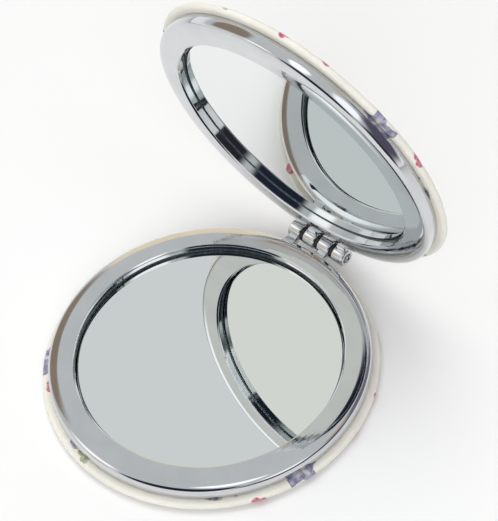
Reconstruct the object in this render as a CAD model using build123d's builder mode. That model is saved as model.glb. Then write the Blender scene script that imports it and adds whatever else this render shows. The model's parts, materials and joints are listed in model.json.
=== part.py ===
from build123d import *
import os
from math import atan2, cos, degrees, radians, sin

os.makedirs("parts", exist_ok=True)

# Folding pocket compact: two round mirrors in cast metal shells with padded covers,
# joined by a four-knuckle friction hinge.
# Millimetres, +Z up. The origin is the centre of the flat face that the base rests on.
# The hinge axis runs along X at the back (+Y), and the front edge is at -Y.

# ---------------------------------------------------------------- overall
cover_radius = 35.0         # outermost reach of the padded covers
half_thickness = 5.5        # one half, from its mating ring to its outer face
opening_angle = 78.0        # how far the lid stands open in the model, from shut

# ---------------------------------------------------------------- metal shells
ring_width = 3.1            # flat mating ring around the mirror
shoulder_width = 1.9        # falling shoulder outside the flat ring
shoulder_drop = 0.45
shoulder_tilt = 8.0         # slope where the shoulder leaves the ring, in degrees
rim_edge_radius = 0.4       # rounded edge between the shoulder and the rim wall
ring_edge_radius = 0.15     # rounded edge between the ring and the opening's bevel
opening_bevel = 0.35        # slope around the opening, as wide as it is deep
web_thickness = 0.55        # floor between the mirror and the padded cover

# ---------------------------------------------------------------- mirrors
mirror_recess = 1.95        # how far the glass sits below the mating ring
mirror_thickness = 1.0
mirror_clearance = 0.25     # around the edge of the glass
mirror_edge_chamfer = 0.25
tape_thickness = 0.15       # double-sided tape, under the glass and under the cover
tape_margin = 1.0           # how far the tape stays inside the glass

# ---------------------------------------------------------------- padded covers
cover_overhang = 1.7        # how far the cover reaches past the rim wall
skin_thickness = 0.5
crown_rise = 0.4            # how far the outer face swells past its rolled edge
rest_radius = 25.0          # flat middle of the outer face
hem_width = 4.2             # skin turned in between the shell and the backing disc
hem_clearance = 0.2         # between the turned-in hem and the raised web
disc_thickness = 0.5        # stiff backing disc inside the cover
disc_inset = 0.2            # disc edge, inside the start of the rolled edge

# ---------------------------------------------------------------- hinge
knuckle_radius = 1.9
knuckle_length = 3.1
knuckle_gap = 0.85
knuckle_count = 4
hinge_standoff = 2.5        # hinge axis, behind the rim wall
axis_rise = 0.1             # hinge axis, above each mating plane
lug_height = 1.6            # lug that ties a knuckle to the rim
lug_sink = 1.6              # how far the lug runs into the rim
pin_radius = 1.15
pin_interference = 0.01     # pin pressed into the base knuckles
running_clearance = 0.04    # pin in the lid knuckles, and washer beside a knuckle
pin_recess = 0.9            # pin end, inside the hinge end
pin_chamfer = 0.15
knuckle_chamfer = 0.2
washer_radius = 1.75
washer_bore_clearance = 0.03

# ---------------------------------------------------------------- worked out from those
floor_depth = mirror_recess + mirror_thickness + tape_thickness
web_depth = floor_depth + web_thickness
disc_depth = web_depth + tape_thickness
rim_depth = disc_depth - skin_thickness
roll_radius = (half_thickness - rim_depth - crown_rise) / 2
roll_centre_radius = cover_radius - roll_radius
rim_radius = cover_radius - cover_overhang
shoulder_radius = rim_radius - rim_edge_radius / 2
ring_radius = shoulder_radius - shoulder_width
ring_inner_radius = ring_radius - ring_width
opening_radius = ring_inner_radius - opening_bevel
mirror_radius = opening_radius - mirror_clearance
mirror_tape_radius = mirror_radius - tape_margin
hem_radius = rim_radius - hem_width
web_radius = hem_radius - hem_clearance
cover_tape_radius = web_radius - tape_margin
disc_radius = roll_centre_radius - disc_inset

roll_depth = rim_depth + roll_radius
crown_run = roll_centre_radius - rest_radius
roll_height = half_thickness - roll_depth
crown_radius = (crown_run**2 + roll_height**2 - roll_radius**2) / (2 * crown_rise)
crown_angle = degrees(atan2(crown_run, crown_radius - roll_height))

hinge_reach = rim_radius + hinge_standoff
knuckle_pitch = knuckle_length + knuckle_gap
hinge_length = knuckle_count * knuckle_pitch - knuckle_gap
hinge_height = half_thickness + axis_rise
press_bore = pin_radius - pin_interference
running_bore = pin_radius + running_clearance
washer_thickness = knuckle_gap - running_clearance
washer_bore = pin_radius + washer_bore_clearance

# Each half is drawn in its own frame: the mating plane is XY, the other half is on +Z,
# and the hinge is on +Y. Both halves are the same casting, turned about the hinge.
hinge_axis = Axis((0, hinge_reach, hinge_height), (1, 0, 0))
base_frame = Plane(origin=(0, 0, half_thickness), x_dir=(1, 0, 0), z_dir=(0, 0, 1))
shut_lid_frame = Plane(
    origin=(0, 0, half_thickness + 2 * axis_rise), x_dir=(-1, 0, 0), z_dir=(0, 0, -1)
)


def turned_about_hinge(frame, angle):
    """The frame after a turn about the hinge axis that lifts the front by angle."""
    swing = Plane(origin=hinge_axis.position, x_dir=(1, 0, 0), z_dir=(0, 0, 1))
    turn = swing.location * Location((0, 0, 0), (-angle, 0, 0)) * swing.location.inverse()
    return Plane(turn * frame.location)


lid_frame = turned_about_hinge(shut_lid_frame, opening_angle)


def section_of(frame):
    """Plane through the half's centre line: x is the radius and y is along +Z."""
    return Plane(origin=frame.origin, x_dir=frame.x_dir, z_dir=-frame.y_dir)


def centre_line(frame):
    return Axis(frame.origin, frame.z_dir)


def hinge_section(frame, x):
    """Plane across the hinge at x in the half's frame: x is its +Y and y its +Z."""
    start = frame.from_local_coords(Vector(x, 0, 0))
    return Plane(origin=start, x_dir=frame.y_dir, z_dir=frame.x_dir)


def knuckle_start(index):
    return index * knuckle_pitch - hinge_length / 2


def shell(frame, bore):
    """Cast shell: flat ring, shoulder, rim wall, bevelled mirror recess and its two knuckles."""
    tilt = radians(shoulder_tilt)
    lug_base = axis_rise - knuckle_radius
    with BuildPart() as casting:
        # Every second knuckle along the hinge belongs to this half.
        for index in range(0, knuckle_count, 2):
            with BuildSketch(hinge_section(frame, knuckle_start(index))):
                with Locations((hinge_reach, axis_rise)):
                    Circle(knuckle_radius)
            extrude(amount=knuckle_length)
        chamfer(casting.edges().filter_by(GeomType.CIRCLE), knuckle_chamfer)
        for index in range(0, knuckle_count, 2):
            with BuildSketch(hinge_section(frame, knuckle_start(index) + knuckle_chamfer)):
                with Locations((rim_radius - lug_sink, lug_base)):
                    Rectangle(lug_sink + hinge_standoff, lug_height, align=(Align.MIN, Align.MIN))
            extrude(amount=knuckle_length - 2 * knuckle_chamfer)
        with BuildSketch(section_of(frame)) as profile:
            with BuildLine():
                Polyline(
                    (0, -floor_depth),
                    (opening_radius, -floor_depth),
                    (opening_radius, -opening_bevel),
                    (ring_inner_radius, 0),
                    (ring_radius, 0),
                )
                TangentArc(
                    (ring_radius, 0),
                    (rim_radius, -shoulder_drop),
                    tangent=(cos(tilt), -sin(tilt)),
                )
                Polyline(
                    (rim_radius, -shoulder_drop),
                    (rim_radius, -rim_depth),
                    (web_radius, -rim_depth),
                    (web_radius, -web_depth),
                    (0, -web_depth),
                    (0, -floor_depth),
                )
            make_face()
            corners = profile.vertices()
            fillet(corners.sort_by_distance((rim_radius, -shoulder_drop))[0], rim_edge_radius)
            corners = profile.vertices()
            fillet(corners.sort_by_distance((ring_inner_radius, 0))[0], ring_edge_radius)
        revolve(axis=centre_line(frame))
        with BuildSketch(hinge_section(frame, -hinge_length / 2)):
            with Locations((hinge_reach, axis_rise)):
                Circle(bore)
        extrude(amount=hinge_length, mode=Mode.SUBTRACT)
    return casting


def disc(frame, radius, depth, thickness):
    """Round plate whose front face lies at depth below the mating plane."""
    with BuildPart() as plate:
        with BuildSketch(frame.offset(-depth)):
            Circle(radius)
        extrude(amount=-thickness)
    return plate


def mirror(frame):
    with BuildPart() as glass:
        with BuildSketch(frame.offset(-mirror_recess)):
            Circle(mirror_radius)
        extrude(amount=-mirror_thickness)
        chamfer(glass.edges(), mirror_edge_chamfer)
    return glass


def rolled_edge(inset):
    """Rolled edge and crown of the padded cover, at inset from its outside."""
    CenterArc((roll_centre_radius, -roll_depth), roll_radius - inset, 90, crown_angle - 180)
    CenterArc(
        (rest_radius, crown_radius - half_thickness),
        crown_radius - inset,
        crown_angle - 90,
        -crown_angle,
    )


def skin(frame):
    """Cover skin: flat face, crown, rolled edge and the hem turned in over the disc."""
    outer = half_thickness
    inner = half_thickness - skin_thickness
    with BuildPart() as cover:
        with BuildSketch(section_of(frame)):
            with BuildLine():
                Line((hem_radius, -rim_depth), (roll_centre_radius, -rim_depth))
                rolled_edge(0)
                Polyline((rest_radius, -outer), (0, -outer), (0, -inner), (rest_radius, -inner))
                rolled_edge(skin_thickness)
                Polyline(
                    (roll_centre_radius, -disc_depth),
                    (hem_radius, -disc_depth),
                    (hem_radius, -rim_depth),
                )
            make_face()
        revolve(axis=centre_line(frame))
    return cover


def foam(frame):
    """Foam between the backing disc and the skin, wrapped round the disc's edge."""
    inner = half_thickness - skin_thickness
    disc_back = disc_depth + disc_thickness
    with BuildPart() as pad:
        with BuildSketch(section_of(frame)):
            with BuildLine():
                Polyline(
                    (0, -inner),
                    (0, -disc_back),
                    (disc_radius, -disc_back),
                    (disc_radius, -disc_depth),
                    (roll_centre_radius, -disc_depth),
                )
                rolled_edge(skin_thickness)
                Line((rest_radius, -inner), (0, -inner))
            make_face()
        revolve(axis=centre_line(frame))
    return pad


def finish(piece, name):
    piece.part.label = name
    export_step(piece.part, f"parts/{name}.step")


# ---------------------------------------------------------------- the two halves
for side, frame, bore in (("base", base_frame, press_bore), ("lid", lid_frame, running_bore)):
    finish(shell(frame, bore), f"{side}_shell")
    finish(mirror(frame), f"{side}_mirror")
    finish(
        disc(frame, mirror_tape_radius, mirror_recess + mirror_thickness, tape_thickness),
        f"{side}_mirror_tape",
    )
    finish(disc(frame, cover_tape_radius, web_depth, tape_thickness), f"{side}_cover_tape")
    finish(disc(frame, disc_radius, disc_depth, disc_thickness), f"{side}_backing_disc")
    finish(foam(frame), f"{side}_foam_pad")
    finish(skin(frame), f"{side}_cover")

# ---------------------------------------------------------------- hinge pin and washers
with BuildPart() as hinge_pin:
    with BuildSketch(hinge_section(base_frame, pin_recess - hinge_length / 2)):
        with Locations((hinge_reach, axis_rise)):
            Circle(pin_radius)
    extrude(amount=hinge_length - 2 * pin_recess)
    chamfer(hinge_pin.edges().filter_by(GeomType.CIRCLE), pin_chamfer)
finish(hinge_pin, "hinge_pin")

with BuildPart() as hinge_washers:
    for index in range(knuckle_count - 1):
        # Each washer lies against the base knuckle beside its gap.
        base_knuckle_first = index % 2 == 0
        step = 0 if base_knuckle_first else running_clearance
        with BuildSketch(hinge_section(base_frame, knuckle_start(index) + knuckle_length + step)):
            with Locations((hinge_reach, axis_rise)):
                Circle(washer_radius)
                Circle(washer_bore, mode=Mode.SUBTRACT)
        extrude(amount=washer_thickness)
finish(hinge_washers, "hinge_washers")
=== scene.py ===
import json
from math import cos, hypot, pi, radians, sin, tan, tanh

import bmesh
import bpy
from mathutils import Matrix, Vector, noise

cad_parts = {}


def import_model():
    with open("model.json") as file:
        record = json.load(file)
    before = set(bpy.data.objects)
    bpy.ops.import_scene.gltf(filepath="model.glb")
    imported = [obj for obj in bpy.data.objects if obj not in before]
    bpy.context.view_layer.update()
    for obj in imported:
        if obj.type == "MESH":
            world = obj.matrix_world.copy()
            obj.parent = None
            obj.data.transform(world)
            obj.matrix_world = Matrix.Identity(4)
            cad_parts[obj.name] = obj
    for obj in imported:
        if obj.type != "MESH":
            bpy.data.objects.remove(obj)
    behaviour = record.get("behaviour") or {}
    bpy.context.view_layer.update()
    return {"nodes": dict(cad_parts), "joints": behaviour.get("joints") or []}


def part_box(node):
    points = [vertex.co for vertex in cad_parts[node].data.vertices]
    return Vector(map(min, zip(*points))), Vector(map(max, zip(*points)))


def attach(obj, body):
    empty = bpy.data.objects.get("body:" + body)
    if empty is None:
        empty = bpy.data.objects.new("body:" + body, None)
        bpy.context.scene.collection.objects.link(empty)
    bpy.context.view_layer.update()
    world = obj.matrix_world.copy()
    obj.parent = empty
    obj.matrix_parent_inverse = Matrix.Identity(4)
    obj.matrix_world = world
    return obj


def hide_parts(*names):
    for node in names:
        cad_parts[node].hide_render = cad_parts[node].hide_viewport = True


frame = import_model()

# A folding round compact: two mirrors in chromed shells with padded, printed covers.
# Metres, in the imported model's frame. Both halves are the same pieces, drawn once in a
# half's own frame: its mating plane is XY, the other half is on +Z and the hinge is on +Y.

MM = 0.001

# ---------------------------------------------------------------- two sizes that no box gives
AXIS_RISE = 0.1 * MM
CROWN_RISE = 0.4 * MM

# ---------------------------------------------------------------- sizes read from the frame
hinge = next(joint for joint in frame["joints"] if joint["name"] == "lid_hinge")
hinge_reach = hinge["pos_m"][1]
axis_height = hinge["pos_m"][2]
opening = -radians(hinge["range_deg"][0])
mating_height = axis_height - AXIS_RISE

cover_low, cover_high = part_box("base_cover")
shell_low, shell_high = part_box("base_shell")
mirror_low, mirror_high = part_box("base_mirror")
pin_low, pin_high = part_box("hinge_pin")
cover_radius = cover_high.x
rim_radius = shell_high.x
mirror_radius = mirror_high.x
rim_depth = mating_height - cover_high.z
web_depth = mating_height - shell_low.z
mirror_depth = mating_height - mirror_high.z
floor_depth = mating_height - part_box("base_mirror_tape")[0].z
knuckle_radius = shell_high.y - hinge_reach
pin_radius = (pin_high.z - pin_low.z) / 2
washer_low, washer_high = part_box("hinge_washers")
washer_radius = (washer_high.z - washer_low.z) / 2
roll_radius = (cover_high.z - cover_low.z - CROWN_RISE) / 2
outer_depth = rim_depth + 2 * roll_radius + CROWN_RISE

# ---------------------------------------------------------------- sizes of the casting
SEGMENTS = 256
SHOULDER_WIDTH = 1.9 * MM
SHOULDER_DROP = 0.45 * MM
SHOULDER_TILT = radians(6)
RIM_INSET = 0.2 * MM
WALL_BELLY = 0.14 * MM
RING_WIDTH = 3.1 * MM
RING_CROWN = 0.035 * MM
POLISH_RIPPLE = 0.0012 * MM
OPENING_BEVEL = 0.35 * MM
WEB_INSET = 4.4 * MM

ring_radius = rim_radius - RIM_INSET - SHOULDER_WIDTH
ring_inner = ring_radius - RING_WIDTH
opening_radius = ring_inner - OPENING_BEVEL

# ---------------------------------------------------------------- sizes of the hinge
KNUCKLE_LENGTH = 3.1 * MM
KNUCKLE_GAP = 0.85 * MM
KNUCKLE_COUNT = 4
KNUCKLE_EDGE = 0.28 * MM
BORE_CHAMFER = 0.08 * MM
BARREL_SEGMENTS = 72
RUNNING_GAP = 0.04 * MM
WASHER_CLEARANCE = 0.03 * MM
WASHER_EDGE = 0.3 * MM
LUG_SINK = 1.6 * MM
LUG_HEIGHT = 1.6 * MM
LUG_FLARE = 0.35 * MM
LUG_EDGE = 0.3 * MM
LUG_END_GAP = 0.25 * MM

knuckle_pitch = KNUCKLE_LENGTH + KNUCKLE_GAP
hinge_length = KNUCKLE_COUNT * knuckle_pitch - KNUCKLE_GAP

# ---------------------------------------------------------------- sizes of the glass and covers
GLASS_BEVEL = 0.3 * MM
REST_RADIUS = 25.0 * MM
SKIN = 0.5 * MM
HEM_WIDTH = 4.2 * MM
PUCKER_DEPTH = 0.07 * MM
SOFTNESS = 0.10 * MM
BASE_PRINT_TURN = radians(240)

# ---------------------------------------------------------------- cloth simulation
CLOTH_SCALE = 20
CLOTH_STEPS = 20
CLOTH_PRESSURE = 1.5
CLOTH_LIMIT = 0.42 * MM
CLOTH_FREE_RINGS = 31
CLOTH_GRIP_RINGS = 4


# ---------------------------------------------------------------- frames of the two halves
def half_frames():
    """The placing matrix of each half."""
    base = Matrix.Translation((0, 0, mating_height))
    shut_lid = Matrix.Translation((0, 0, axis_height + AXIS_RISE)) @ Matrix.Rotation(pi, 4, "Y")
    pivot = Matrix.Translation((0, hinge_reach, axis_height))
    turn = pivot @ Matrix.Rotation(-opening, 4, "X") @ pivot.inverted()
    return {"base": base, "lid": turn @ shut_lid}


HALVES = half_frames()


# ---------------------------------------------------------------- mesh helpers
def new_object(name, verts, faces, material):
    """A smooth-shaded object from its points and faces."""
    mesh = bpy.data.meshes.new(name)
    mesh.from_pydata(verts, [], faces)
    mesh.update()
    piece = bpy.data.objects.new(name, mesh)
    bpy.context.scene.collection.objects.link(piece)
    mesh.materials.append(material)
    for polygon in mesh.polygons:
        polygon.use_smooth = True
    return piece


def rounded(points, steps=6):
    """An outline from (r, z, fillet radius) corners, with each fillet as a short arc."""
    outline = []
    last = len(points) - 1
    for index, (r, z, fillet) in enumerate(points):
        here = Vector((r, z))
        if fillet == 0 or index in (0, last):
            outline.append(here)
            continue
        back = (Vector(points[index - 1][:2]) - here).normalized()
        ahead = (Vector(points[index + 1][:2]) - here).normalized()
        half = back.angle(ahead) / 2
        reach = fillet / tan(half)
        centre = here + (back + ahead).normalized() * (fillet / sin(half))
        start = here + back * reach - centre
        sweep = pi - 2 * half
        if start.x * ahead.y - start.y * ahead.x < 0:
            sweep = -sweep
        for step in range(steps + 1):
            angle = sweep * step / steps
            turned = Matrix.Rotation(angle, 2) @ start
            outline.append(centre + turned)
    return outline


def lathe(name, outline, material, shape=None):
    """Closed solid of revolution about Z. The outline starts and ends on the axis.

    shape moves a point, given the point, its place in the outline and its angle."""
    verts = [(0, 0, outline[0].y)]
    faces = []
    inner = outline[1:-1]
    for ring, point in enumerate(inner):
        for segment in range(SEGMENTS):
            angle = 2 * pi * segment / SEGMENTS
            spot = Vector((point.x * cos(angle), point.x * sin(angle), point.y))
            verts.append(shape(spot, ring + 1, angle) if shape else spot)
    verts.append((0, 0, outline[-1].y))
    top = len(verts) - 1
    last = 1 + (len(inner) - 1) * SEGMENTS
    for segment in range(SEGMENTS):
        after = (segment + 1) % SEGMENTS
        faces.append((0, 1 + segment, 1 + after))
        faces.append((top, last + after, last + segment))
    for ring in range(len(inner) - 1):
        start = 1 + ring * SEGMENTS
        ahead = start + SEGMENTS
        for segment in range(SEGMENTS):
            after = (segment + 1) % SEGMENTS
            faces.append((start + segment, ahead + segment, ahead + after, start + after))
    return outward(new_object(name, verts, faces, material))


def outward(piece):
    """Turns every face to point out of its closed mesh."""
    mesh = bmesh.new()
    mesh.from_mesh(piece.data)
    bmesh.ops.recalc_face_normals(mesh, faces=mesh.faces)
    if mesh.calc_volume(signed=True) < 0:
        bmesh.ops.reverse_faces(mesh, faces=mesh.faces)
    mesh.to_mesh(piece.data)
    mesh.free()
    return piece


def weigh_normals(piece):
    """Keeps flats flat beside the small fillets, so that polish reflects cleanly."""
    modifier = piece.modifiers.new("weighted_normals", "WEIGHTED_NORMAL")
    modifier.keep_sharp = True
    return piece


def place(piece, side, replaced):
    """Puts a piece drawn in a half's frame where that half is, and lets it ride there."""
    piece.data.transform(HALVES[side])
    piece.data.update()
    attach(piece, side)
    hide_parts(*replaced)


def paint(node, material):
    """Gives a kept CAD node its material."""
    piece = frame["nodes"][node]
    piece.data.materials.clear()
    piece.data.materials.append(material)


# ---------------------------------------------------------------- materials
def rgba(sockets, name):
    """The colour socket of that name on a Mix node, which has one for each kind of value."""
    return next(socket for socket in sockets if socket.name == name and socket.type == "RGBA")


class Shader:
    """A Principled material with small helpers for its nodes."""

    def __init__(self, name, color, roughness, metallic=0.0):
        self.material = bpy.data.materials.new(name)
        self.material.use_nodes = True
        self.nodes = self.material.node_tree.nodes
        self.links = self.material.node_tree.links
        self.bsdf = self.nodes["Principled BSDF"]
        self.bsdf.inputs["Base Color"].default_value = (*color, 1)
        self.bsdf.inputs["Roughness"].default_value = roughness
        self.bsdf.inputs["Metallic"].default_value = metallic

    def node(self, kind, **values):
        made = self.nodes.new(kind)
        for key, value in values.items():
            setattr(made, key, value)
        return made

    def join(self, source, target):
        self.links.new(source, target)

    def position(self):
        """Position on the piece, in metres."""
        return self.node("ShaderNodeTexCoord").outputs["Object"]

    def wrap(self):
        """Position on the unrolled skin, in metres."""
        return self.node("ShaderNodeUVMap", uv_map="wrap").outputs["UV"]

    def noise(self, where, scale, detail=2.0, rough=0.5, stretch=None):
        texture = self.node("ShaderNodeTexNoise")
        texture.inputs["Scale"].default_value = scale
        texture.inputs["Detail"].default_value = detail
        texture.inputs["Roughness"].default_value = rough
        if stretch:
            mapping = self.node("ShaderNodeMapping")
            mapping.inputs["Scale"].default_value = stretch
            self.join(where, mapping.inputs["Vector"])
            where = mapping.outputs["Vector"]
        self.join(where, texture.inputs["Vector"])
        return texture.outputs["Fac"]

    def cells(self, where, scale, feature="F1", spread=1.0):
        texture = self.node("ShaderNodeTexVoronoi", feature=feature)
        texture.inputs["Scale"].default_value = scale
        texture.inputs["Randomness"].default_value = spread
        self.join(where, texture.inputs["Vector"])
        return texture

    def remap(self, value, low, high, to_low=0.0, to_high=1.0, smooth=True):
        ramp = self.node("ShaderNodeMapRange")
        if smooth:
            ramp.interpolation_type = "SMOOTHSTEP"
        self.join(value, ramp.inputs["Value"])
        ramp.inputs["From Min"].default_value = low
        ramp.inputs["From Max"].default_value = high
        ramp.inputs["To Min"].default_value = to_low
        ramp.inputs["To Max"].default_value = to_high
        return ramp.outputs["Result"]

    def math(self, operation, first, second=None):
        node = self.node("ShaderNodeMath", operation=operation)
        for slot, value in enumerate((first, second)):
            if value is None:
                continue
            if isinstance(value, (int, float)):
                node.inputs[slot].default_value = value
            else:
                self.join(value, node.inputs[slot])
        return node.outputs["Value"]

    def blend(self, factor, under, over):
        """Colour over laid on colour under, where factor is 1."""
        mix = self.node("ShaderNodeMix", data_type="RGBA")
        self.join(factor, mix.inputs["Factor"])
        for value, name in ((under, "A"), (over, "B")):
            socket = rgba(mix.inputs, name)
            if isinstance(value, tuple):
                socket.default_value = (*value, 1)
            else:
                self.join(value, socket)
        return rgba(mix.outputs, "Result")

    def bump(self, height, distance, strength=1.0, after=None):
        bump = self.node("ShaderNodeBump")
        bump.inputs["Distance"].default_value = distance
        bump.inputs["Strength"].default_value = strength
        self.join(height, bump.inputs["Height"])
        if after:
            self.join(after, bump.inputs["Normal"])
        return bump.outputs["Normal"]


def chrome():
    """Bright plating on a cast shell: slight ripple, faint haze, fine wiping marks."""
    s = Shader("chromed_zinc", (0.64, 0.655, 0.675), 0.05, 1.0)
    where = s.position()
    haze = s.remap(s.noise(where, 260, 4.0, 0.6), 0.35, 0.75, 0.03, 0.085)
    wipes = s.remap(s.noise(where, 900, 3.0, 0.6, (1.0, 0.12, 1.0)), 0.62, 0.75, 0.0, 0.035)
    s.join(s.math("ADD", haze, wipes), s.bsdf.inputs["Roughness"])
    ripple = s.noise(where, 420, 2.0)
    slow = s.noise(where, 110, 1.0)
    first = s.bump(slow, 0.05 * MM, 0.5)
    s.join(s.bump(ripple, 0.010 * MM, 0.5, first), s.bsdf.inputs["Normal"])
    tone = s.blend(s.remap(s.noise(where, 150, 3.0), 0.3, 0.7),
                   (0.62, 0.635, 0.655), (0.66, 0.675, 0.69))
    s.join(tone, s.bsdf.inputs["Base Color"])
    return s.material


def silvering():
    """Silvered face of the glass, with a few faint smudges and specks."""
    s = Shader("mirror_glass", (0.84, 0.87, 0.865), 0.0, 1.0)
    where = s.position()
    smudge = s.remap(s.noise(where, 70, 4.0, 0.65), 0.55, 0.8, 0.0, 0.02)
    s.join(smudge, s.bsdf.inputs["Roughness"])
    specks = s.remap(s.cells(where, 420).outputs["Distance"], 0.03, 0.06, 1.0, 0.0)
    s.join(s.blend(specks, (0.84, 0.87, 0.865), (0.78, 0.81, 0.81)), s.bsdf.inputs["Base Color"])
    return s.material


def glass_edge():
    """Ground and painted edge of the mirror glass."""
    s = Shader("mirror_edge", (0.22, 0.29, 0.27), 0.25, 0.35)
    where = s.position()
    grind = s.noise(where, 2600, 3.0, 0.7)
    s.join(s.remap(grind, 0.3, 0.7, 0.18, 0.42), s.bsdf.inputs["Roughness"])
    s.join(s.bump(grind, 0.01 * MM, 0.6), s.bsdf.inputs["Normal"])
    s.join(s.blend(s.remap(grind, 0.3, 0.7), (0.15, 0.21, 0.20), (0.30, 0.38, 0.355)),
           s.bsdf.inputs["Base Color"])
    return s.material


def printed_skin():
    """Cream leathercloth with a scattered print of dusk-blue blossoms, red buds and leaves."""
    s = Shader("printed_skin", (0.84, 0.81, 0.72), 0.5)
    where = s.wrap()
    drift = s.node("ShaderNodeVectorMath", operation="SUBTRACT")
    warp = s.node("ShaderNodeTexNoise")
    warp.inputs["Scale"].default_value = 330
    s.join(where, warp.inputs["Vector"])
    s.join(warp.outputs["Color"], drift.inputs[0])
    drift.inputs[1].default_value = (0.5, 0.5, 0.5)
    scaled = s.node("ShaderNodeVectorMath", operation="SCALE")
    s.join(drift.outputs["Vector"], scaled.inputs[0])
    scaled.inputs["Scale"].default_value = 1.6 * MM
    added = s.node("ShaderNodeVectorMath", operation="ADD")
    s.join(where, added.inputs[0])
    s.join(scaled.outputs["Vector"], added.inputs[1])
    where_print = added.outputs["Vector"]

    def motif(pitch, size, petals, depth, share, shift):
        """Petalled shapes about pitch apart, on that share of the places.

        Returns the mask, the depth inside a shape, and a value that differs from shape to shape."""
        moved = s.node("ShaderNodeVectorMath", operation="ADD")
        s.join(where_print, moved.inputs[0])
        moved.inputs[1].default_value = (shift, -0.6 * shift, 0)
        cell = s.cells(moved.outputs["Vector"], 1 / pitch, "F1", 0.85)
        cell.voronoi_dimensions = "2D"
        centre = s.node("ShaderNodeVectorMath", operation="SUBTRACT")
        s.join(moved.outputs["Vector"], centre.inputs[0])
        s.join(cell.outputs["Position"], centre.inputs[1])
        apart = s.node("ShaderNodeSeparateXYZ")
        s.join(centre.outputs["Vector"], apart.inputs[0])
        tint = s.node("ShaderNodeSeparateColor")
        s.join(cell.outputs["Color"], tint.inputs[0])
        angle = s.math("ARCTAN2", apart.outputs["Y"], apart.outputs["X"])
        turned = s.math("ADD", s.math("MULTIPLY", angle, petals),
                        s.math("MULTIPLY", tint.outputs[1], 2 * pi))
        lobes = s.math("ADD", s.math("MULTIPLY", s.math("SINE", turned), depth), 1.0)
        reach = s.math("MULTIPLY", lobes, size / pitch)
        inside = s.math("SUBTRACT", reach, cell.outputs["Distance"])
        mask = s.remap(inside, 0.0, 0.035)
        chosen = s.remap(tint.outputs[0], 1 - share - 0.01, 1 - share, smooth=False)
        return s.math("MULTIPLY", mask, chosen), inside, tint.outputs[2]

    fade = s.remap(s.noise(where, 900, 4.0, 0.7), 0.3, 0.62, 0.55, 1.0)
    ground = s.blend(s.remap(s.noise(where, 90, 4.0), 0.35, 0.7),
                     (0.86, 0.84, 0.76), (0.80, 0.78, 0.70))
    leaf, _, _ = motif(7.5 * MM, 1.4 * MM, 2, 0.62, 0.35, 4 * MM)
    color = s.blend(s.math("MULTIPLY", leaf, fade), ground, (0.33, 0.36, 0.24))
    flower, depth_in, kind = motif(12 * MM, 4.2 * MM, 5, 0.24, 0.36, 0.0)
    petal = s.blend(s.remap(kind, 0.4, 0.6), (0.16, 0.16, 0.29), (0.25, 0.22, 0.36))
    petal = s.blend(s.remap(depth_in, 0.12, 0.26), petal, (0.52, 0.49, 0.60))
    eye = s.remap(depth_in, 0.27, 0.31)
    petal = s.blend(eye, petal, (0.80, 0.66, 0.32))
    color = s.blend(s.math("MULTIPLY", flower, fade), color, petal)
    bud, _, _ = motif(9.5 * MM, 1.5 * MM, 3, 0.22, 0.35, 9 * MM)
    color = s.blend(s.math("MULTIPLY", bud, fade), color, (0.50, 0.06, 0.14))
    s.join(color, s.bsdf.inputs["Base Color"])

    grain = s.cells(where, 2300, "DISTANCE_TO_EDGE")
    creases = s.remap(grain.outputs["Distance"], 0.0, 0.22)
    fine = s.noise(where, 5200, 3.0, 0.6)
    height = s.math("ADD", s.math("MULTIPLY", creases, 0.7), s.math("MULTIPLY", fine, 0.3))
    s.join(s.bump(height, 0.06 * MM, 0.7), s.bsdf.inputs["Normal"])
    s.join(s.remap(creases, 0.0, 1.0, 0.62, 0.42), s.bsdf.inputs["Roughness"])
    s.bsdf.inputs["Coat Weight"].default_value = 0.15
    s.bsdf.inputs["Coat Roughness"].default_value = 0.3
    return s.material


def fibrous(name, dark, light, roughness, scale, stretch=None, depth=0.03 * MM):
    """Board, tissue tape or foam: two tones of a fine texture, with its relief."""
    s = Shader(name, light, roughness)
    where = s.position()
    weave = s.noise(where, scale, 5.0, 0.65, stretch)
    pores = s.cells(where, scale * 0.7).outputs["Distance"]
    mixed = s.math("MULTIPLY", s.remap(weave, 0.3, 0.7), s.remap(pores, 0.0, 0.5, 0.5, 1.0))
    s.join(s.blend(mixed, dark, light), s.bsdf.inputs["Base Color"])
    s.join(s.bump(mixed, depth, 0.6), s.bsdf.inputs["Normal"])
    s.join(s.remap(weave, 0.3, 0.7, roughness - 0.1, roughness + 0.1), s.bsdf.inputs["Roughness"])
    return s.material


def drawn_steel():
    """Pin wire: dark, with lengthwise draw marks."""
    s = Shader("pin_steel", (0.22, 0.22, 0.23), 0.35, 1.0)
    where = s.position()
    marks = s.noise(where, 1500, 3.0, 0.6, (0.06, 1.0, 1.0))
    s.join(s.remap(marks, 0.3, 0.7, 0.25, 0.5), s.bsdf.inputs["Roughness"])
    s.join(s.blend(marks, (0.12, 0.12, 0.13), (0.33, 0.33, 0.34)), s.bsdf.inputs["Base Color"])
    return s.material


def nylon():
    """Smooth black nylon with a little wear."""
    s = Shader("black_nylon", (0.012, 0.012, 0.016), 0.2)
    where = s.position()
    wear = s.noise(where, 1400, 3.0)
    s.join(s.remap(wear, 0.3, 0.7, 0.12, 0.3), s.bsdf.inputs["Roughness"])
    s.join(s.blend(s.remap(wear, 0.4, 0.8), (0.010, 0.010, 0.014), (0.035, 0.035, 0.042)),
           s.bsdf.inputs["Base Color"])
    return s.material


CHROME = chrome()
SILVER = silvering()
GLASS_EDGE = glass_edge()
SKIN_PRINT = printed_skin()
TAPE = fibrous("adhesive_tape", (0.62, 0.59, 0.50), (0.86, 0.83, 0.75), 0.6, 1800, (1, 0.2, 1))
BOARD = fibrous("backing_board", (0.13, 0.125, 0.12), (0.34, 0.33, 0.31), 0.75, 1500)
FOAM = fibrous("foam", (0.62, 0.60, 0.53), (0.90, 0.88, 0.81), 0.85, 2400, depth=0.08 * MM)
STEEL = drawn_steel()
NYLON = nylon()


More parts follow.
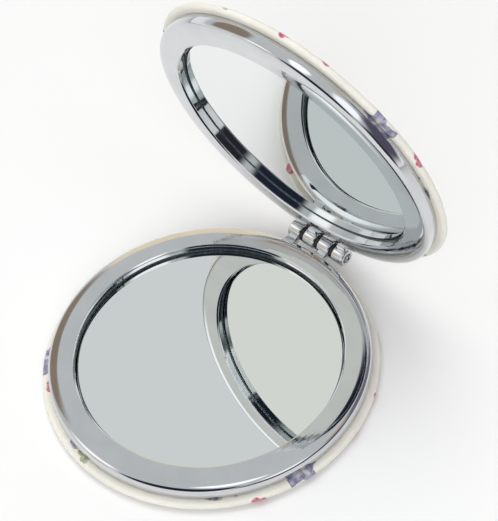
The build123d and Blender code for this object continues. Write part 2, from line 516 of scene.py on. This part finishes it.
# ---------------------------------------------------------------- cast shells
def bezier(corners, steps):
    """Points along a cubic curve, without its first one."""
    a, b, c, d = (Vector(corner) for corner in corners)
    points = []
    for step in range(1, steps + 1):
        t = step / steps
        u = 1 - t
        points.append(a * u**3 + b * (3 * u * u * t) + c * (3 * u * t * t) + d * t**3)
    return points


def ring_face(steps=30):
    """The mating ring: very slightly crowned, with the faint rings that polishing leaves."""
    points = []
    for step in range(1, steps):
        across = step / steps
        crown = -RING_CROWN * (2 * across - 1) ** 2
        polish = POLISH_RIPPLE * (sin(2 * pi * across * 4.3) + 0.6 * sin(2 * pi * across * 7.1 + 1))
        points.append((ring_inner + RING_WIDTH * across, crown - POLISH_RIPPLE * 1.6 + polish, 0))
    return points


def shoulder_and_wall():
    """From the ring's crease over the rounded shoulder and down the slightly bellied rim wall."""
    run = rim_radius - ring_radius
    top = (rim_radius, -2.4 * SHOULDER_DROP)
    over = bezier([
        (ring_radius, -RING_CROWN),
        (ring_radius + 0.6 * run, -RING_CROWN - 0.6 * run * tan(SHOULDER_TILT)),
        (rim_radius - 0.05 * MM, -0.75 * SHOULDER_DROP),
        top,
    ], 14)
    belly = bezier([
        top,
        (rim_radius + WALL_BELLY, top[1] - 0.35 * (rim_depth + top[1])),
        (rim_radius + WALL_BELLY, -rim_depth + 0.35 * (rim_depth + top[1])),
        (rim_radius - 0.12 * MM, -rim_depth),
    ], 8)
    return [(point.x, point.y, 0) for point in over + belly]


def casting(side):
    """Ring, shoulder, rim wall and the recess for the glass."""
    web_radius = rim_radius - WEB_INSET
    outline = rounded([
        (0, -floor_depth, 0),
        (opening_radius, -floor_depth, 0.15 * MM),
        (opening_radius, -OPENING_BEVEL, 0.2 * MM),
        (ring_inner, -RING_CROWN, 0.12 * MM),
        *ring_face(),
        (ring_radius, -RING_CROWN, 0),
        *shoulder_and_wall(),
        (web_radius, -rim_depth, 0.1 * MM),
        (web_radius, -web_depth, 0.1 * MM),
        (0, -web_depth, 0),
    ])
    piece = lathe(f"{side}_casting", outline, CHROME)
    weigh_normals(piece)
    place(piece, side, [f"{side}_shell"])


def barrel(name, start, length, bore, outer, material, edge):
    """Hollow barrel or ring along the hinge axis, with its ends rounded over."""
    steps = 6
    loop = [
        (bore, start + BORE_CHAMFER),
        (bore, start + length - BORE_CHAMFER),
        (bore + BORE_CHAMFER, start + length),
    ]
    for step in range(steps + 1):
        angle = pi / 2 * step / steps
        loop.append((outer - edge + edge * sin(angle), start + length - edge + edge * cos(angle)))
    for step in range(steps + 1):
        angle = pi / 2 * step / steps
        loop.append((outer - edge + edge * cos(angle), start + edge - edge * sin(angle)))
    loop.append((bore + BORE_CHAMFER, start))
    verts = []
    for radius, x in loop:
        for segment in range(BARREL_SEGMENTS):
            angle = 2 * pi * segment / BARREL_SEGMENTS
            verts.append((x, hinge_reach + radius * cos(angle), AXIS_RISE + radius * sin(angle)))
    faces = []
    for ring in range(len(loop)):
        here = ring * BARREL_SEGMENTS
        ahead = (ring + 1) % len(loop) * BARREL_SEGMENTS
        for segment in range(BARREL_SEGMENTS):
            after = (segment + 1) % BARREL_SEGMENTS
            faces.append((here + segment, here + after, ahead + after, ahead + segment))
    return weigh_normals(outward(new_object(name, verts, faces, material)))


def rounded_block(name, stations, corner):
    """Chromed loft along Y through rounded rectangles.

    Each station is (y, x centre, half width, low z, high z)."""
    per_corner = 6
    verts = []
    for y, centre, half_width, low, high in stations:
        for quarter, (sx, top) in enumerate(((1, True), (-1, True), (-1, False), (1, False))):
            cx = centre + sx * (half_width - corner)
            cz = high - corner if top else low + corner
            for step in range(per_corner):
                angle = pi / 2 * (quarter + step / (per_corner - 1))
                verts.append((cx + corner * cos(angle), y, cz + corner * sin(angle)))
    count = 4 * per_corner
    faces = [tuple(range(count)), tuple(range(len(verts) - count, len(verts)))]
    for station in range(len(stations) - 1):
        start = station * count
        for index in range(count):
            after = (index + 1) % count
            faces.append((start + index, start + after,
                          start + count + after, start + count + index))
    return weigh_normals(outward(new_object(name, verts, faces, CHROME)))


def knuckles(side):
    """The two barrels of one half, each on a lug that spreads into the rim."""
    steps = 10
    bore = pin_radius if side == "base" else pin_radius + RUNNING_GAP
    lug_base = AXIS_RISE - knuckle_radius
    lug_start = rim_radius - LUG_SINK
    lug_end = hinge_reach - pin_radius - LUG_END_GAP
    for number, index in enumerate(range(0, KNUCKLE_COUNT, 2), 1):
        start = index * knuckle_pitch - hinge_length / 2
        ring = barrel(f"{side}_knuckle_{number}", start, KNUCKLE_LENGTH, bore, knuckle_radius,
                      CHROME, KNUCKLE_EDGE)
        place(ring, side, [f"{side}_shell"])
        centre = start + KNUCKLE_LENGTH / 2
        stations = []
        for step in range(steps + 1):
            t = step / steps
            y = lug_start + (lug_end - lug_start) * t
            flare = LUG_FLARE * (1 - t) ** 2
            half_width = KNUCKLE_LENGTH / 2 - LUG_EDGE + flare
            stations.append((y, centre, half_width, lug_base - flare / 2, lug_base + LUG_HEIGHT))
        lug = rounded_block(f"{side}_lug_{number}", stations, LUG_EDGE)
        place(lug, side, [f"{side}_shell"])


def washers():
    """Three smooth nylon washers between the knuckles, each with a rounded edge."""
    width = KNUCKLE_GAP - 2 * WASHER_CLEARANCE
    bore = pin_radius + WASHER_CLEARANCE
    for number in range(1, KNUCKLE_COUNT):
        start = number * knuckle_pitch - KNUCKLE_GAP - hinge_length / 2 + WASHER_CLEARANCE
        ring = barrel(f"hinge_washer_{number}", start, width, bore, washer_radius,
                      NYLON, WASHER_EDGE)
        place(ring, "base", ["hinge_washers"])


# ---------------------------------------------------------------- mirrors
def glass(side):
    """Silvered glass with a polished bevel round its face."""
    back_depth = mirror_depth + mirror_high.z - mirror_low.z
    outline = rounded([
        (0, -mirror_depth, 0),
        (mirror_radius - GLASS_BEVEL, -mirror_depth, 0.03 * MM),
        (mirror_radius, -mirror_depth - GLASS_BEVEL, 0.05 * MM),
        (mirror_radius, -back_depth, 0.08 * MM),
        (0, -back_depth, 0),
    ], steps=3)
    piece = lathe(f"{side}_glass", outline, SILVER)
    piece.data.materials.append(GLASS_EDGE)
    face_edge = -mirror_depth - 0.02 * MM
    for polygon in piece.data.polygons:
        polygon.material_index = 0 if polygon.center.z > face_edge else 1
    weigh_normals(piece)
    place(piece, side, [f"{side}_mirror"])


# ---------------------------------------------------------------- padded covers
def skin_outline(steps=28, roll_steps=14):
    """Outline of the skin, and how many of its points are on the outer face and the roll."""
    roll_centre = cover_radius - roll_radius
    roll_bottom = rim_depth + 2 * roll_radius

    def face(inset):
        """The crowned face from the centre outwards, then round the roll to the ledge."""
        points = []
        for step in range(steps + 1):
            r = roll_centre * (step / steps) ** 0.8
            t = max(0.0, (r - REST_RADIUS) / (roll_centre - REST_RADIUS))
            fall = CROWN_RISE * t * t
            points.append(Vector((r, -(outer_depth - fall) + inset)))
        radius = roll_radius - inset
        for step in range(1, roll_steps + 1):
            angle = -pi / 2 + pi * step / roll_steps
            points.append(Vector((roll_centre + radius * cos(angle),
                                  -(roll_bottom - roll_radius) + radius * sin(angle))))
        return points

    outside = face(0.0)
    inside = face(SKIN)
    hem = rim_radius - HEM_WIDTH
    ledge = [Vector((rim_radius, -rim_depth)), Vector((hem, -rim_depth)),
             Vector((hem, -rim_depth - SKIN))]
    return outside + ledge + inside[::-1], len(outside)


def settle(piece, shown, rests):
    """Cloth simulation of a cover's outer face, pressed out by its foam and held round the roll.

    It runs on every second column of the face, scaled up, and the movement is given back to the
    whole face with a soft limit. A face that rests on something stays flat there."""
    columns = SEGMENTS // 2
    rings = shown - 1
    starts = [piece.data.vertices[0].co.copy()]
    for ring in range(rings):
        starts += [piece.data.vertices[1 + ring * SEGMENTS + 2 * column].co.copy()
                   for column in range(columns)]
    faces = [(0, 1 + (column + 1) % columns, 1 + column) for column in range(columns)]
    for ring in range(rings - 1):
        start = 1 + ring * columns
        for column in range(columns):
            after = (column + 1) % columns
            faces.append((start + column, start + after,
                          start + columns + after, start + columns + column))
    mesh = bpy.data.meshes.new("cloth_face")
    mesh.from_pydata([spot * CLOTH_SCALE for spot in starts], [], faces)
    cloth = bpy.data.objects.new("cloth_face", mesh)
    bpy.context.scene.collection.objects.link(cloth)
    held = cloth.vertex_groups.new(name="held")
    for ring in range(rings):
        grip = max(0.0, min(1.0, (ring - CLOTH_FREE_RINGS) / CLOTH_GRIP_RINGS))
        held.add(list(range(1 + ring * columns, 1 + (ring + 1) * columns)), grip, "REPLACE")
    modifier = cloth.modifiers.new("cloth", "CLOTH")
    settings = modifier.settings
    settings.quality = 6
    settings.mass = 0.4
    settings.tension_stiffness = 30
    settings.compression_stiffness = 30
    settings.shear_stiffness = 15
    settings.bending_stiffness = 2
    settings.vertex_group_mass = "held"
    settings.use_pressure = True
    settings.uniform_pressure_force = CLOTH_PRESSURE
    settings.effector_weights.gravity = 0
    modifier.collision_settings.use_collision = False
    for step in range(1, CLOTH_STEPS + 1):
        bpy.context.scene.frame_set(step)
    settled = cloth.evaluated_get(bpy.context.evaluated_depsgraph_get()).data.vertices
    moves = []
    for start, vertex in zip(starts, settled):
        move = vertex.co / CLOTH_SCALE - start
        reach = move.length
        if reach > 0:
            move = move * (CLOTH_LIMIT * tanh(reach / CLOTH_LIMIT) / reach)
        moves.append(move)
    bpy.data.objects.remove(cloth)
    bpy.context.scene.frame_set(1)

    vertices = piece.data.vertices
    vertices[0].co += moves[0]
    for ring in range(rings):
        around = moves[1 + ring * columns:1 + (ring + 1) * columns]
        for segment in range(SEGMENTS):
            column, odd = divmod(segment, 2)
            move = around[column]
            if odd:
                move = (move + around[(column + 1) % columns]) / 2
            vertices[1 + ring * SEGMENTS + segment].co += move
    if rests:
        for vertex in vertices:
            vertex.co.z = max(vertex.co.z, -outer_depth)
    piece.data.update()


def cover(side, turn):
    """Padded leathercloth cover, its slack taken up in small puckers at the rolled edge.

    turn is how far its print is turned."""
    outline, shown = skin_outline()
    seed = 3.7 if side == "base" else 11.2
    length = [0.0]
    for before, point in zip(outline, outline[1:]):
        length.append(length[-1] + (point - before).length)
    edge = cover_radius - 3 * roll_radius

    def shape(spot, index, angle):
        if index >= shown:
            return spot
        radius = hypot(spot.x, spot.y)
        near = max(0.0, min(1.0, (radius - edge) / (cover_radius - edge)))
        way = Vector((cos(angle), sin(angle), 0))
        pull = noise.noise(Vector((34 * cos(angle), 34 * sin(angle), seed)))
        swell = noise.noise(Vector((spot.x * 90, spot.y * 90, seed)))
        inward = PUCKER_DEPTH * near * (pull - 0.45)
        softness = SOFTNESS * swell * (1 if side == "lid" else near)
        return spot + way * inward * near - Vector((0, 0, 1)) * min(0.0, softness)

    piece = lathe(f"{side}_padded_cover", outline, SKIN_PRINT, shape)
    settle(piece, shown, side == "base")
    piece.data.uv_layers.new(name="wrap")
    layer = piece.data.uv_layers["wrap"].data
    inner_count = len(outline) - 2
    for loop in piece.data.loops:
        index = loop.vertex_index
        if index == 0 or index > inner_count * SEGMENTS:
            layer[loop.index].uv = (0, 0)
            continue
        ring, segment = divmod(index - 1, SEGMENTS)
        angle = 2 * pi * segment / SEGMENTS
        run = length[ring + 1]
        layer[loop.index].uv = (run * cos(angle + turn), run * sin(angle + turn))
    place(piece, side, [f"{side}_cover"])


# ---------------------------------------------------------------- build
for side in ("base", "lid"):
    casting(side)
    knuckles(side)
    glass(side)
    cover(side, BASE_PRINT_TURN if side == "base" else 0.0)
    paint(f"{side}_mirror_tape", TAPE)
    paint(f"{side}_cover_tape", TAPE)
    paint(f"{side}_backing_disc", BOARD)
    paint(f"{side}_foam_pad", FOAM)
washers()
paint("hinge_pin", STEEL)


# ---------------------------------------------------------------- floor, light and camera
def floor():
    """Pale paper that the compact rests on."""
    s = Shader("floor_paper", (0.9, 0.9, 0.9), 0.9)
    bpy.ops.mesh.primitive_plane_add(size=6)
    plane = bpy.context.object
    plane.name = "floor"
    plane.data.materials.append(s.material)


def world():
    """A studio of soft round patches: bright panels, a dark corner, and tan and grey fields.

    It is what the chrome and the glass reflect. The camera itself sees plain pale paper."""
    made = bpy.data.worlds.new("studio")
    bpy.context.scene.world = made
    made.use_nodes = True
    nodes = made.node_tree.nodes
    links = made.node_tree.links
    background = nodes["Background"]
    where = nodes.new("ShaderNodeTexCoord").outputs["Generated"]
    color = None
    patches = [
        # direction, colour, inner angle and outer angle in degrees
        ((0, 0, -1), (1.05, 1.05, 1.05), 99, 106),
        ((0.02, -0.02, 1), (1.6, 1.6, 1.6), 6, 10),
        ((0.64, -0.02, 0.77), (1.45, 1.45, 1.5), 8, 14),
        ((0.45, 0.70, 0.55), (0.20, 0.19, 0.25), 20, 28),
        ((0.94, -0.27, 0.18), (0.03, 0.03, 0.04), 18, 27),
        ((0.88, 0.27, 0.37), (0.11, 0.10, 0.15), 13, 23),
        ((0.42, 0.44, 0.79), (0.66, 0.50, 0.31), 5, 9),
        ((-0.66, 0.60, 0.42), (1.05, 0.90, 0.64), 12, 17),
        ((-0.80, 0.10, 0.60), (0.33, 0.26, 0.20), 13, 19),
        ((-0.55, -0.70, 0.45), (0.88, 0.87, 0.82), 14, 24),
        ((-0.45, -0.83, 0.30), (0.70, 0.52, 0.33), 5, 9),
        ((-0.50, -0.42, 0.75), (1.5, 1.5, 1.5), 7, 13),
        ((0.22, -0.72, 0.66), (0.020, 0.025, 0.045), 25, 31),
    ]
    for way, shade, inner, outer in patches:
        dot = nodes.new("ShaderNodeVectorMath")
        dot.operation = "DOT_PRODUCT"
        links.new(where, dot.inputs[0])
        dot.inputs[1].default_value = Vector(way).normalized()
        ramp = nodes.new("ShaderNodeMapRange")
        ramp.interpolation_type = "SMOOTHSTEP"
        links.new(dot.outputs["Value"], ramp.inputs["Value"])
        ramp.inputs["From Min"].default_value = cos(radians(outer))
        ramp.inputs["From Max"].default_value = cos(radians(inner))
        mix = nodes.new("ShaderNodeMix")
        mix.data_type = "RGBA"
        links.new(ramp.outputs["Result"], mix.inputs["Factor"])
        if color is None:
            rgba(mix.inputs, "A").default_value = (0.68, 0.70, 0.70, 1)
        else:
            links.new(color, rgba(mix.inputs, "A"))
        rgba(mix.inputs, "B").default_value = (*shade, 1)
        color = rgba(mix.outputs, "Result")
    seen = nodes.new("ShaderNodeMix")
    seen.data_type = "RGBA"
    links.new(nodes.new("ShaderNodeLightPath").outputs["Is Camera Ray"], seen.inputs["Factor"])
    links.new(color, rgba(seen.inputs, "A"))
    rgba(seen.inputs, "B").default_value = (0.93, 0.93, 0.93, 1)
    links.new(rgba(seen.outputs, "Result"), background.inputs["Color"])


def area(name, place_at, target, size, power):
    """Round soft lamp that polished metal does not mirror."""
    light = bpy.data.lights.new(name, "AREA")
    light.shape = "DISK"
    light.size = size
    light.energy = power
    lamp = bpy.data.objects.new(name, light)
    bpy.context.scene.collection.objects.link(lamp)
    lamp.location = place_at
    lamp.rotation_euler = (Vector(target) - Vector(place_at)).to_track_quat("-Z", "Y").to_euler()
    lamp.visible_glossy = False


def camera():
    """Looks down from the front right, 34 cm away."""
    azimuth, elevation, roll = radians(46.33), radians(50.51), radians(-6.90)
    distance = 0.33805
    look = Vector((-9.49 * MM, 23.36 * MM, mating_height - 1.015 * MM))
    back = Vector((sin(azimuth) * cos(elevation), -cos(azimuth) * cos(elevation), sin(elevation)))
    across = Vector((0, 0, 1)).cross(back).normalized()
    up = back.cross(across)
    right = cos(roll) * across + sin(roll) * up
    top = -sin(roll) * across + cos(roll) * up
    data = bpy.data.cameras.new("camera")
    data.lens = 109.03
    data.clip_start = 0.01
    viewer = bpy.data.objects.new("camera", data)
    bpy.context.scene.collection.objects.link(viewer)
    turn = Matrix((right, top, back)).transposed()
    viewer.matrix_world = Matrix.Translation(look + back * distance) @ turn.to_4x4()
    bpy.context.scene.camera = viewer


floor()
world()
area("overhead", (-0.25, 0.15, 0.9), (0, 0, 0.02), 0.7, 2.9)
area("fill", (0.45, -0.6, 0.6), (0, 0, 0.02), 0.9, 4.4)
camera()
bpy.context.scene.view_settings.view_transform = "Standard"
